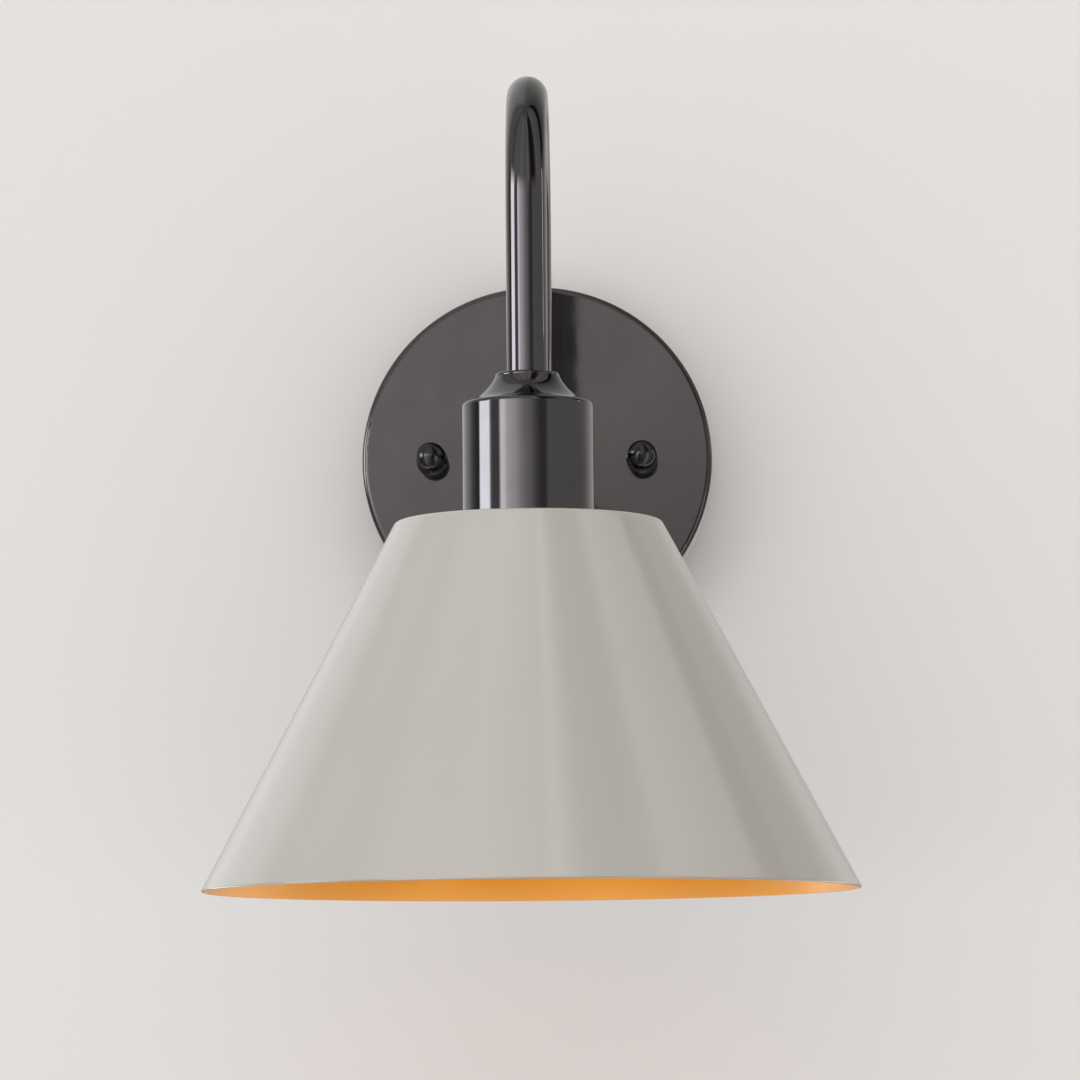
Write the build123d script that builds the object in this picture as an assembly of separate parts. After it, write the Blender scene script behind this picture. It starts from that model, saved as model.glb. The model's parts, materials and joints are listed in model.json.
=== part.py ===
from build123d import *
import os
from math import atan2, cos, hypot, pi, sin, sqrt, tan

# Wall sconce: a round canopy, a gooseneck tube, a socket cup and a cone shade that opens downwards.
# The origin is the centre of the canopy's rear plane, on the wall. +Z is up, +X is to the right
# and the sconce stands out along -Y. All sizes are millimetres.

os.makedirs("parts", exist_ok=True)

# Canopy: a shallow round pan with its rim on the wall
canopy_side_room = 5.15
canopy_depth = 22.0
canopy_wall = 1.2
canopy_edge_round = 2.0

# Gooseneck: one tube with a bend out of the canopy and a half-circle arch over the shade
tube_diameter = 12.7
tube_wall = 1.0
bend_radius = 38.1
stub_length = 19.7
riser_length = 27.2
drop_length = 54.8

# Socket cup: a spun bell with an ogee top
cup_room = 1.95
cup_wall = 1.2
cup_side_height = 36.5
cup_flare_height = 9.3
cup_flare_radius = 15.7
cup_neck_room = 1.2
cup_neck_floor = 2.0
cup_neck_lip = 1.0
cup_neck_round = 0.8
cup_shoulder_round = 1.4

# Shade: a spun cone with a flat top
shade_diameter = 200.5
shade_height = 112.4
shade_top_diameter = 81.5
shade_wall = 1.0
shade_top_round = 1.6
shade_lip_round = 0.4
shade_hole_clearance = 0.6

# Threaded nipples, their nuts and the bushes in the tube's ends
nut_wall = 2.15
nut_height = 3.5
washer_margin = 0.5
washer_thickness = 1.0
bush_wall = 0.5
bush_length = 12.0
nipple_tail = 3.0
nipple_hole_clearance = 0.25

# Wire bush on the wall nipple's open end
wire_bush_flange = 1.0
wire_bush_flange_diameter = 12.0
wire_bush_spigot = 4.0
wire_bush_wall = 0.35

# Crossbar, its studs and their cap nuts
crossbar_end = 3.35
crossbar_width = 15.0
crossbar_thickness = 1.9
box_screw_spacing = 88.9
box_slot_length = 8.4
box_slot_width = 4.6
crossbar_centre_hole = 10.5
stud_spacing = 69.85
stud_diameter = 4.1
stud_hole_clearance = 0.4
stud_nut_flats = 8.7
stud_nut_height = 3.2
cap_washer_diameter = 9.6
cap_washer_thickness = 0.5
cap_base_diameter = 10.4
cap_base_height = 1.6
cap_base_round = 0.5
cap_neck_diameter = 6.4
cap_ball_diameter = 9.7
cap_ball_height = 10.8
cap_thread_depth = 10.6
stud_reach = 9.6
thread_fit = 0.06

# Lampholder: a cap on the nipple, a ceramic core and a threaded skirt
holder_hub_wall = 2.65
holder_hub_height = 4.0
holder_hub_thread = 5.0
holder_step = 0.35
holder_shoulder_drop = 5.0
holder_wall = 1.8
holder_floor = 6.0
wire_room = 10.0
core_height = 8.0
skirt_wall = 2.7
skirt_spigot = 4.0
skirt_length = 26.0
shell_fit = 0.1
shell_wall = 0.4
shell_length = 24.0
shell_flange = 0.5
shell_flange_bore = 12.0
shell_clearance = 0.3
contact_width = 4.5
contact_thickness = 0.5
contact_length = 8.0
contact_drop = 2.1
terminal_spacing = 14.0
terminal_screw_offset = 5.5
terminal_head_diameter = 5.0
terminal_head_height = 1.8
terminal_shank_diameter = 3.0
terminal_shank_length = 6.0
terminal_slot_width = 0.8
terminal_slot_depth = 0.9

# Shade ring: a nut on the skirt that clamps the shade against the cup
ring_flange_width = 3.0
ring_flange_height = 2.5
ring_hub_wall = 3.25
ring_height = 8.0
ring_fit = 0.1
ring_grip_count = 18
ring_grip_width = 2.0
ring_grip_depth = 0.9

# Lamp: a frosted bulb with a medium screw base
lamp_length = 106.0
lamp_diameter = 60.0
lamp_glass = 0.8
lamp_base_diameter = 26.3
lamp_base_skirt = 6.48
lamp_base_wall = 0.4
lamp_thread_depth = 0.7
lamp_thread_pitch = 3.63
lamp_thread_turns = 4
lamp_contact_gap = 0.4
lamp_eyelet_diameter = 9.6
lamp_eyelet_height = 1.6
lamp_insulator_height = 3.4
lamp_neck_gap = 0.48
lamp_stem_diameter = 7.0
lamp_stem_length = 30.0
lamp_stem_flare = 5.0
filament_diameter = 0.8
filament_span = 22.0
filament_rise = 16.0

# Leads from the lampholder to the canopy, and their connectors
lead_diameter = 2.1
lead_gap = 0.4
lead_room = 0.55
lead_past_nipple = 0.6
connector_offset = 9.0
connector_diameter = 9.6
connector_tip_diameter = 6.4
connector_length = 18.0
connector_grip = 8.0
connector_round = 0.8
connector_run = 13.0

# Ground lead with its lugs and screw
ground_diameter = 2.0
ground_screw_offset = 18.0
ground_head_flats = 8.0
ground_head_height = 3.0
ground_flange_diameter = 9.6
ground_flange_height = 0.8
lug_thickness = 0.8
lug_rim = 3.2
lug_barrel_diameter = 3.6
lug_barrel_length = 5.0
lug_barrel_gap = 1.0
ground_rise = 4.0

# One overrun for every cut
overrun = 1.0

# Sizes that follow from what each piece holds or covers
tube_radius = tube_diameter / 2
tube_bore = tube_radius - tube_wall
nipple_radius = tube_bore - bush_wall
lead_radius = lead_diameter / 2
lead_half_spacing = lead_radius + lead_gap / 2
nipple_bore = 2 * (lead_half_spacing + lead_radius + lead_room + wire_bush_wall)
nut_flats = 2 * (nipple_radius + nut_wall)
washer_diameter = nut_flats + 2 * washer_margin
crossbar_length = box_screw_spacing + box_slot_length + 2 * crossbar_end
canopy_diameter = crossbar_length + 2 * (canopy_side_room + canopy_wall)
lamp_base_root = lamp_base_diameter - 2 * lamp_thread_depth
lamp_neck_socket = lamp_base_skirt - lamp_neck_gap
shell_bore = lamp_base_diameter + 2 * shell_fit
shell_radius = shell_bore / 2 + shell_wall
skirt_radius = shell_radius + shell_clearance + skirt_wall
holder_diameter = 2 * (skirt_radius + holder_step)
holder_bore = holder_diameter / 2 - holder_wall
holder_hub_diameter = 2 * (nipple_radius + holder_hub_wall)
holder_cap_length = holder_floor + wire_room + core_height + skirt_spigot
cup_diameter = holder_diameter + 2 * (cup_room + cup_wall)
cup_neck_diameter = washer_diameter + 2 * (cup_neck_room + cup_wall)
ring_hub_diameter = 2 * (skirt_radius + ring_fit + ring_hub_wall)
ring_flange_diameter = ring_hub_diameter + 2 * ring_flange_width

# Places that follow from the sizes above
reach = canopy_depth + stub_length + 3 * bend_radius
riser_depth = canopy_depth + stub_length + bend_radius
arch_spring = bend_radius + riser_length
neck_top = arch_spring - drop_length
cup_shoulder = neck_top - cup_flare_height
cup_base = cup_shoulder - cup_side_height
shade_top = cup_base
shade_rim = shade_top - shade_height
holder_top = neck_top - cup_neck_floor - washer_thickness - nut_height
holder_hub_base = holder_top - holder_hub_height
holder_ceiling = holder_top - holder_floor
holder_cap_base = holder_top - holder_cap_length
core_top = holder_ceiling - wire_room
core_base = core_top - core_height
skirt_base = holder_cap_base - skirt_length
contact_tip = core_base - shell_flange - contact_drop
lamp_top = contact_tip - lamp_contact_gap
lamp_thread_top = lamp_top - lamp_eyelet_height - lamp_insulator_height
lamp_thread_base = lamp_thread_top - lamp_thread_turns * lamp_thread_pitch
lamp_base_end = lamp_thread_base - lamp_base_skirt
lamp_tip = lamp_top - lamp_length
canopy_front_inside = canopy_depth - canopy_wall
wall_nut_face = canopy_front_inside - lug_thickness - washer_thickness
wall_nipple_end = wall_nut_face - nut_height - nipple_tail
socket_nipple_end = holder_top - holder_hub_thread
ring_top = shade_top - shade_wall
lead_bend_depth = wall_nipple_end - wire_bush_flange - lead_past_nipple
lead_run_depth = connector_diameter / 2
lead_turn_radius = lead_bend_depth - lead_run_depth


def rod(radius, low, high):
    """A cylinder on the Z axis between two heights."""
    body = Cylinder(radius, high - low, align=(Align.CENTER, Align.CENTER, Align.MIN))
    return Pos(0, 0, low) * body


def sleeve(outer, inner, low, high):
    """A plain tube on the Z axis between two heights."""
    return rod(outer, low, high) - rod(inner, low - overrun, high + overrun)


def hexagon(flats, low, high):
    """A hexagonal bar on the Z axis between two heights."""
    outline = RegularPolygon(radius=flats / 2, side_count=6, major_radius=False)
    return Pos(0, 0, low) * extrude(outline, amount=high - low)


def turned(outline):
    """Revolves an outline of radius and height about the Z axis."""
    return revolve(Plane.XZ * outline, Axis.Z)


def rounded(outline, points, radius):
    """Rounds the outline's corners that lie at these points."""
    for point in points:
        corner = outline.vertices().sort_by_distance(Vector(*point, 0))[0]
        outline = fillet(corner, radius)
    return outline


def on_wall(shape, x=0):
    """Puts a shape built along +Z so that it stands out of the wall, with its height as its depth."""
    return Pos(x, 0, 0) * Rot(90, 0, 0) * shape


def on_axis(shape, x=0, y=0):
    """Puts a shape built on the Z axis on the vertical axis of the shade."""
    return Pos(x, y - reach, 0) * shape


def save(name, *solids):
    """Writes one node, which may be a group of separate solids."""
    shape = solids[0] if len(solids) == 1 else Compound(children=list(solids))
    export_step(shape, f"parts/{name}.step")


def arc_between(centre, start, end):
    """The arc from start to end about a centre, less than half a turn, in any plane."""
    a, b, c = Vector(*start), Vector(*end), Vector(*centre)
    middle = c + ((a + b) / 2 - c).normalized() * (a - c).length
    return ThreePointArc(a, middle, b)


def swept(section, path, start, direction):
    """Sweeps a flat section along a path of lines and tangent arcs."""
    face = Plane(origin=start, z_dir=direction) * section
    return sweep(face, path=path)


# Canopy
def make_canopy():
    radius = canopy_diameter / 2
    outer = make_face(Polyline((0, 0), (radius, 0), (radius, canopy_depth), (0, canopy_depth), close=True))
    outer = rounded(outer, [(radius, canopy_depth)], canopy_edge_round)
    inside = radius - canopy_wall
    inner = make_face(
        Polyline(
            (0, -overrun),
            (inside, -overrun),
            (inside, canopy_front_inside),
            (0, canopy_front_inside),
            close=True,
        )
    )
    inner = rounded(inner, [(inside, canopy_front_inside)], canopy_edge_round - canopy_wall / 2)
    pan = turned(outer) - turned(inner)
    pan -= rod(nipple_radius + nipple_hole_clearance, canopy_front_inside - overrun, canopy_depth + overrun)
    for side in (-1, 1):
        hole = rod(
            stud_diameter / 2 + stud_hole_clearance, canopy_front_inside - overrun, canopy_depth + overrun
        )
        pan -= Pos(side * stud_spacing / 2, 0, 0) * hole
    return on_wall(pan)


# Crossbar and its hardware
def make_crossbar():
    bar = extrude(SlotOverall(crossbar_length, crossbar_width), amount=crossbar_thickness)
    cut_height = crossbar_thickness + 2 * overrun
    bar -= rod(crossbar_centre_hole / 2, -overrun, crossbar_thickness + overrun)
    bar -= Pos(ground_screw_offset, 0, 0) * rod(stud_diameter / 2, -overrun, crossbar_thickness + overrun)
    for side in (-1, 1):
        bar -= Pos(side * stud_spacing / 2, 0, 0) * rod(
            stud_diameter / 2, -overrun, crossbar_thickness + overrun
        )
        slot = extrude(SlotOverall(box_slot_length, box_slot_width), amount=cut_height)
        bar -= Pos(side * box_screw_spacing / 2, 0, -overrun) * slot
    return on_wall(bar)


def make_stud(side):
    return on_wall(rod(stud_diameter / 2, 0, canopy_depth + stud_reach), side * stud_spacing / 2)


def make_stud_nut(side):
    nut = hexagon(stud_nut_flats, crossbar_thickness, crossbar_thickness + stud_nut_height)
    nut -= rod(stud_diameter / 2, 0, canopy_depth)
    return on_wall(nut, side * stud_spacing / 2)


def make_cap_washer(side):
    washer = sleeve(
        cap_washer_diameter / 2,
        stud_diameter / 2 + thread_fit,
        canopy_depth,
        canopy_depth + cap_washer_thickness,
    )
    return on_wall(washer, side * stud_spacing / 2)


def make_cap_nut(side):
    """A ball on a waisted neck and a round base, with a blind thread from the back."""
    foot = canopy_depth + cap_washer_thickness
    base = cap_base_diameter / 2
    neck = cap_neck_diameter / 2
    ball = cap_ball_diameter / 2
    centre = foot + cap_ball_height
    seat = centre - sqrt(ball**2 - neck**2)
    shoulder = foot + cap_base_height
    outline = make_face(
        [
            Line((0, foot), (base, foot)),
            Line((base, foot), (base, shoulder)),
            RadiusArc((base, shoulder), (neck, seat), seat - shoulder),
            ThreePointArc((neck, seat), (ball, centre), (0, centre + ball)),
            Line((0, centre + ball), (0, foot)),
        ]
    )
    outline = rounded(outline, [(base, shoulder)], cap_base_round)
    nut = turned(outline)
    nut -= rod(stud_diameter / 2 + thread_fit, foot - overrun, foot + cap_thread_depth)
    return on_wall(nut, side * stud_spacing / 2)


# Gooseneck
def arm_path(x, start_depth, end_height):
    """The tube's centreline, offset sideways by x, from a depth off the wall to a height on the shade's axis."""
    bend_start = canopy_depth + stub_length
    arch_centre = reach - bend_radius
    top = arch_spring + bend_radius
    return [
        Line((x, -start_depth, 0), (x, -bend_start, 0)),
        arc_between((x, -bend_start, bend_radius), (x, -bend_start, 0), (x, -riser_depth, bend_radius)),
        Line((x, -riser_depth, bend_radius), (x, -riser_depth, arch_spring)),
        arc_between((x, -arch_centre, arch_spring), (x, -riser_depth, arch_spring), (x, -arch_centre, top)),
        arc_between((x, -arch_centre, arch_spring), (x, -arch_centre, top), (x, -reach, arch_spring)),
        Line((x, -reach, arch_spring), (x, -reach, end_height)),
    ]


def make_arm():
    section = Circle(tube_radius) - Circle(tube_bore)
    return swept(section, Wire(arm_path(0, canopy_depth, neck_top)), (0, -canopy_depth, 0), (0, -1, 0))


def make_bush():
    """The threaded bush brazed into either end of the tube, from height 0 up."""
    return sleeve(tube_bore, nipple_radius, 0, bush_length)


def make_nipple(low, high):
    return sleeve(nipple_radius, nipple_bore / 2, low, high)


def make_lock_washer(low):
    return sleeve(washer_diameter / 2, nipple_radius, low, low + washer_thickness)


def make_nut(low):
    return hexagon(nut_flats, low, low + nut_height) - rod(nipple_radius, low - overrun, low + nut_height + overrun)


def make_wire_bush():
    """A flanged sleeve that lines the open end of the wall nipple."""
    inside = nipple_bore / 2
    bore = inside - wire_bush_wall
    flange = rod(wire_bush_flange_diameter / 2, wall_nipple_end - wire_bush_flange, wall_nipple_end)
    spigot = rod(inside, wall_nipple_end - wire_bush_flange, wall_nipple_end + wire_bush_spigot)
    return on_wall(flange + spigot - rod(bore, 0, canopy_depth))


# Socket cup
def cup_outline(inset):
    """The cup's profile, drawn in by an inset and open at the shade."""
    side = cup_diameter / 2 - inset
    neck = cup_neck_diameter / 2 - inset
    top = neck_top - (cup_neck_floor if inset else 0)
    base = cup_base - (overrun if inset else 0)
    shoulder = cup_shoulder - inset
    flare = cup_flare_radius + inset
    neck_foot = top - cup_neck_lip
    outline = make_face(
        [
            Line((0, base), (side, base)),
            Line((side, base), (side, shoulder)),
            RadiusArc((side, shoulder), (neck, neck_foot), flare),
            Line((neck, neck_foot), (neck, top)),
            Line((neck, top), (0, top)),
            Line((0, top), (0, base)),
        ]
    )
    return outline, (side, shoulder), (neck, top)


def make_cup():
    outer, shoulder, neck = cup_outline(0)
    outer = rounded(outer, [shoulder], cup_shoulder_round)
    outer = rounded(outer, [neck], cup_neck_round)
    inner, shoulder, neck = cup_outline(cup_wall)
    cup = turned(outer) - turned(inner)
    cup -= rod(nipple_radius + nipple_hole_clearance, cup_shoulder, neck_top + overrun)
    return on_axis(cup)


# Lampholder
def make_holder_cap():
    """A domed cap with a threaded hub for the nipple and an open lower end for core and skirt."""
    outside = holder_diameter / 2
    hub = holder_hub_diameter / 2
    shoulder = holder_hub_base - holder_shoulder_drop
    outer = make_face(
        Polyline(
            (0, holder_cap_base),
            (outside, holder_cap_base),
            (outside, shoulder),
            (hub, holder_hub_base),
            (hub, holder_top),
            (0, holder_top),
            close=True,
        )
    )
    outer = rounded(outer, [(outside, shoulder)], holder_wall)
    inner = make_face(
        Polyline(
            (0, holder_cap_base - overrun),
            (holder_bore, holder_cap_base - overrun),
            (holder_bore, shoulder - holder_wall),
            (hub, holder_ceiling),
            (0, holder_ceiling),
            close=True,
        )
    )
    cap = turned(outer) - turned(inner)
    cap -= rod(nipple_radius, holder_ceiling - overrun, holder_top + overrun)
    return on_axis(cap)


def make_core():
    """The ceramic core, with a wire hole and a screw hole for each terminal."""
    core = rod(holder_bore, core_base, core_top)
    for side in (-1, 1):
        wire_hole = rod(lead_radius, core_top - terminal_shank_length, core_top + overrun)
        screw_hole = rod(terminal_shank_diameter / 2, core_top - terminal_shank_length, core_top + overrun)
        core -= Pos(side * terminal_spacing / 2, 0, 0) * wire_hole
        core -= Pos(side * terminal_spacing / 2, side * terminal_screw_offset, 0) * screw_hole
    return on_axis(core)


def make_terminal_screw(side):
    """A slotted screw beside the wire hole in the core."""
    top = core_top + terminal_head_height
    screw = rod(terminal_head_diameter / 2, core_top, top)
    screw += rod(terminal_shank_diameter / 2, core_top - terminal_shank_length, core_top)
    slot = Box(
        terminal_head_diameter + overrun,
        terminal_slot_width,
        terminal_slot_depth,
        align=(Align.CENTER, Align.CENTER, Align.MAX),
    )
    screw -= Pos(0, 0, top) * slot
    return on_axis(screw, side * terminal_spacing / 2, side * terminal_screw_offset)


def make_skirt():
    """The lower shell: a spigot inside the cap and a threaded barrel that the shade ring turns on."""
    bore = skirt_radius - skirt_wall
    skirt = rod(holder_bore, holder_cap_base, core_base) + rod(skirt_radius, skirt_base, holder_cap_base)
    skirt -= rod(bore, skirt_base - overrun, core_base + overrun)
    return on_axis(skirt)


def make_screw_shell():
    """The brass shell that takes the lamp's screw base, with a flange on the core."""
    base = core_base - shell_flange
    shell = sleeve(shell_radius, shell_bore / 2, core_base - shell_length, core_base)
    shell += sleeve(shell_radius, shell_flange_bore / 2, base, core_base)
    return on_axis(shell)


def make_centre_contact():
    """A bent leaf that reaches down from the core towards the lamp's eyelet."""
    top = core_base
    half = contact_length / 2
    fold = half - contact_width / 2
    outline = make_face(
        Polyline(
            (half, top),
            (-half, top),
            (-half, top - contact_thickness),
            (-contact_thickness, contact_tip),
            (contact_thickness * 2, contact_tip),
            (contact_thickness * 2, contact_tip + contact_thickness),
            (-contact_thickness, contact_tip + contact_thickness),
            (-fold, top - contact_thickness),
            (half, top - contact_thickness),
            close=True,
        )
    )
    leaf = extrude(Plane.XZ * outline, amount=contact_width / 2, both=True)
    return on_axis(leaf)


# Shade and its ring
def make_shade():
    rim = shade_diameter / 2
    top = shade_top_diameter / 2
    slant = atan2(shade_height, rim - top)
    side_shift = shade_wall / sin(slant)
    top_shift = side_shift - shade_wall / tan(slant)
    hole = skirt_radius + shade_hole_clearance
    outline = make_face(
        Polyline(
            (hole, shade_top),
            (top, shade_top),
            (rim, shade_rim),
            (rim - side_shift, shade_rim),
            (top - top_shift, shade_top - shade_wall),
            (hole, shade_top - shade_wall),
            close=True,
        )
    )
    outline = rounded(outline, [(top, shade_top)], shade_top_round)
    outline = rounded(outline, [(top - top_shift, shade_top - shade_wall)], shade_top_round - shade_wall / 2)
    outline = rounded(outline, [(rim, shade_rim), (rim - side_shift, shade_rim)], shade_lip_round)
    return on_axis(turned(outline))


def make_shade_ring():
    """A flanged nut with grip grooves round its hub."""
    hub = ring_hub_diameter / 2
    base = ring_top - ring_height
    ring = rod(ring_flange_diameter / 2, ring_top - ring_flange_height, ring_top) + rod(hub, base, ring_top)
    groove = rod(ring_grip_width / 2, base - overrun, ring_top - ring_flange_height)
    for turn in range(ring_grip_count):
        place = Rot(0, 0, 360 * turn / ring_grip_count) * Pos(hub + ring_grip_width / 2 - ring_grip_depth, 0, 0)
        ring -= place * groove
    ring -= rod(skirt_radius + ring_fit, base - overrun, ring_top + overrun)
    return on_axis(ring)


# Lamp
def envelope_outline(inset):
    """The bulb's profile: a ball that runs into the neck through one wide hollow curve."""
    ball = lamp_diameter / 2 - inset
    neck = lamp_base_diameter / 2 - lamp_base_wall - inset
    centre = lamp_tip + lamp_diameter / 2
    neck_end = lamp_base_end
    rise = neck_end - centre
    hollow = (neck**2 + rise**2 - ball**2) / (2 * (ball - neck))
    share = ball / (ball + hollow)
    meet = ((neck + hollow) * share, centre + rise * share)
    away = atan2(rise, neck + hollow)
    middle = away / 2
    hollow_middle = (neck + hollow - hollow * cos(middle), neck_end - hollow * sin(middle))
    ball_turn = (away - pi / 2) / 2
    ball_middle = (ball * cos(ball_turn), centre + ball * sin(ball_turn))
    top = lamp_base_end + lamp_neck_socket + (overrun if inset else 0)
    return make_face(
        [
            Line((0, top), (neck, top)),
            Line((neck, top), (neck, neck_end)),
            ThreePointArc((neck, neck_end), hollow_middle, meet),
            ThreePointArc(meet, ball_middle, (0, centre - ball)),
            Line((0, centre - ball), (0, top)),
        ]
    )


def make_envelope():
    return on_axis(turned(envelope_outline(0)) - turned(envelope_outline(lamp_glass)))


def make_lamp_base():
    """The screw cap: rounded thread turns above a plain skirt that holds the glass."""
    crest = lamp_base_diameter / 2
    root = lamp_base_root / 2
    glass_top = lamp_base_end + lamp_neck_socket
    edges = [Line((root - lamp_base_wall, lamp_thread_top), (root, lamp_thread_top))]
    for turn in range(lamp_thread_turns):
        high = lamp_thread_top - turn * lamp_thread_pitch
        low = high - lamp_thread_pitch
        edges.append(ThreePointArc((root, high), (crest, (high + low) / 2), (root, low)))
    inside = crest - lamp_base_wall
    edges += [
        Line((root, lamp_thread_base), (crest, lamp_thread_base)),
        Line((crest, lamp_thread_base), (crest, lamp_base_end)),
        Line((crest, lamp_base_end), (inside, lamp_base_end)),
        Line((inside, lamp_base_end), (inside, glass_top)),
        Line((inside, glass_top), (root - lamp_base_wall, glass_top)),
        Line((root - lamp_base_wall, glass_top), (root - lamp_base_wall, lamp_thread_top)),
    ]
    return on_axis(turned(make_face(edges)))


def make_insulator():
    """The dark glass cone between the screw cap and the eyelet."""
    cone = Cone(
        lamp_base_root / 2,
        lamp_eyelet_diameter / 2,
        lamp_insulator_height,
        align=(Align.CENTER, Align.CENTER, Align.MIN),
    )
    return on_axis(Pos(0, 0, lamp_thread_top) * cone)


def make_eyelet():
    """The lamp's centre contact, a low dome."""
    radius = lamp_eyelet_diameter / 2
    low = lamp_top - lamp_eyelet_height
    dome = (radius**2 + lamp_eyelet_height**2) / (2 * lamp_eyelet_height)
    ball = Pos(0, 0, lamp_top - dome) * Sphere(dome)
    return on_axis(ball & rod(radius, low, lamp_top + overrun))


def make_stem():
    """The glass stem, flared out to the neck."""
    top = lamp_base_end + lamp_neck_socket
    flare_radius = lamp_base_diameter / 2 - lamp_base_wall - lamp_glass
    stem = lamp_stem_diameter / 2
    outline = make_face(
        Polyline(
            (0, top),
            (flare_radius, top),
            (flare_radius, top - lamp_glass),
            (stem, top - lamp_stem_flare),
            (stem, top - lamp_stem_length),
            (0, top - lamp_stem_length),
            close=True,
        )
    )
    return on_axis(turned(outline))


def make_filament():
    """Support wires that spread from the stem's end, and the filament between them."""
    start = lamp_base_end + lamp_neck_socket - lamp_stem_length
    foot = lamp_stem_diameter / 4
    half = filament_span / 2
    top = start - filament_rise
    points = [(-foot, 0, start), (-half, 0, top), (half, 0, top), (foot, 0, start)]
    path = FilletPolyline(*points, radius=filament_diameter * 3)
    direction = Vector(foot - half, 0, -filament_rise).normalized()
    wire = swept(Circle(filament_diameter / 2), path, points[0], direction)
    trim = rod(lamp_diameter / 2, start, start + lamp_stem_length)
    return on_axis(wire - trim)


# Leads
def lead_path(side):
    """One lead's centreline from its hole in the core, up through the arm and down inside the canopy."""
    x = side * lead_half_spacing
    out = side * terminal_spacing / 2
    shift = out - x
    low = core_top
    high = socket_nipple_end
    turn = 2 * atan2(abs(shift), high - low)
    radius = (high - low) / (2 * sin(turn))
    joint = (x + shift / 2, -reach, (high + low) / 2)
    bend_depth = lead_bend_depth
    run_depth = lead_run_depth
    run_top = -lead_turn_radius
    far = side * connector_offset
    step = far - x
    run_base = run_top - connector_run
    run_turn = 2 * atan2(abs(step), connector_run)
    run_radius = connector_run / (2 * sin(run_turn))
    run_joint = (x + step / 2, -run_depth, (run_top + run_base) / 2)
    print(f"lead bends {radius:.1f}, {lead_turn_radius:.1f} and {run_radius:.1f} mm")
    edges = [
        Line((out, -reach, core_top - terminal_shank_length), (out, -reach, low)),
        arc_between((out - side * radius, -reach, low), (out, -reach, low), joint),
        arc_between((x + side * radius, -reach, high), joint, (x, -reach, high)),
    ]
    edges += reversed(arm_path(x, bend_depth, high))
    edges += [
        arc_between((x, -bend_depth, run_top), (x, -bend_depth, 0), (x, -run_depth, run_top)),
        arc_between((x + side * run_radius, -run_depth, run_top), (x, -run_depth, run_top), run_joint),
        arc_between((far - side * run_radius, -run_depth, run_base), run_joint, (far, -run_depth, run_base)),
        Line((far, -run_depth, run_base), (far, -run_depth, run_base - connector_grip)),
    ]
    return Wire(edges)


def make_lead(side):
    path = lead_path(side)
    start = (side * terminal_spacing / 2, -reach, core_top - terminal_shank_length)
    lead = swept(Circle(lead_radius), path, start, (0, 0, 1))
    print(f"lead length {path.length:.0f} mm, volume over section {lead.volume / (pi * lead_radius**2):.0f} mm")
    return lead


def make_connector(side):
    """A twist-on connector, widest at its mouth, with its closed end down."""
    mouth = -lead_turn_radius - connector_run
    tip = mouth - connector_length
    outline = make_face(
        Polyline(
            (0, mouth),
            (connector_diameter / 2, mouth),
            (connector_diameter / 2, mouth - connector_length / 3),
            (connector_tip_diameter / 2, tip),
            (0, tip),
            close=True,
        )
    )
    outline = rounded(outline, [(connector_tip_diameter / 2, tip)], connector_round)
    cap = turned(outline) - rod(lead_radius, mouth - connector_grip, mouth + overrun)
    return Pos(side * connector_offset, -lead_run_depth, 0) * cap


# Ground lead
def make_lug(hole, low):
    """A ring lug with a barrel that points up."""
    outside = hole + lug_rim
    barrel_base = outside + lug_barrel_gap
    ring = rod(outside, low, low + lug_thickness)
    tongue = Pos(0, barrel_base / 2, low + lug_thickness / 2) * Box(
        lug_barrel_diameter, barrel_base + 2 * lug_barrel_gap, lug_thickness
    )
    barrel = Rot(-90, 0, 0) * rod(lug_barrel_diameter / 2, barrel_base, barrel_base + lug_barrel_length)
    barrel = Pos(0, 0, low + lug_barrel_diameter / 2) * barrel
    lug = ring + tongue + barrel
    lug -= rod(hole, low - overrun, low + lug_barrel_diameter)
    bore = Rot(-90, 0, 0) * rod(ground_diameter / 2, barrel_base, barrel_base + lug_barrel_length + overrun)
    return lug - Pos(0, 0, low + lug_barrel_diameter / 2) * bore


def make_ground_screw():
    """A flanged hexagon screw through the lug into the crossbar."""
    seat = crossbar_thickness + lug_thickness
    screw = rod(stud_diameter / 2, 0, seat)
    screw += rod(ground_flange_diameter / 2, seat, seat + ground_flange_height)
    screw += hexagon(ground_head_flats, seat, seat + ground_head_height)
    return on_wall(screw, ground_screw_offset)


def ground_ends():
    """Where the ground lead enters its two barrels, and how deep they go."""
    canopy_lug = nipple_radius + lug_rim + lug_barrel_gap
    screw_lug = stud_diameter / 2 + lug_rim + lug_barrel_gap
    canopy_depth_line = canopy_front_inside - lug_barrel_diameter / 2
    screw_depth_line = crossbar_thickness + lug_barrel_diameter / 2
    return (
        (0, -canopy_depth_line, canopy_lug),
        (ground_screw_offset, -screw_depth_line, screw_lug),
    )


def make_ground_lead():
    """A half-circle loop between the lug on the wall nipple and the lug on the ground screw."""
    start, end = ground_ends()
    top = start[2] + lug_barrel_length + ground_rise
    radius = hypot(end[0] - start[0], end[1] - start[1]) / 2
    start_top = (start[0], start[1], top)
    end_top = (end[0], end[1], top)
    crown = ((start[0] + end[0]) / 2, (start[1] + end[1]) / 2, top + radius)
    path = Wire(
        [
            Line(start, start_top),
            ThreePointArc(start_top, crown, end_top),
            Line(end_top, end),
        ]
    )
    lead = swept(Circle(ground_diameter / 2), path, start, (0, 0, 1))
    print(f"ground lead length {path.length:.0f} mm")
    return lead


def make_canopy_lug():
    """The lug clamped behind the canopy's face, with its barrel towards the wall."""
    lug = Rot(0, 180, 0) * make_lug(nipple_radius, 0)
    return on_wall(Pos(0, 0, canopy_front_inside) * lug)


def make_screw_lug():
    return on_wall(Pos(0, 0, crossbar_thickness) * make_lug(stud_diameter / 2, 0), ground_screw_offset)


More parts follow.
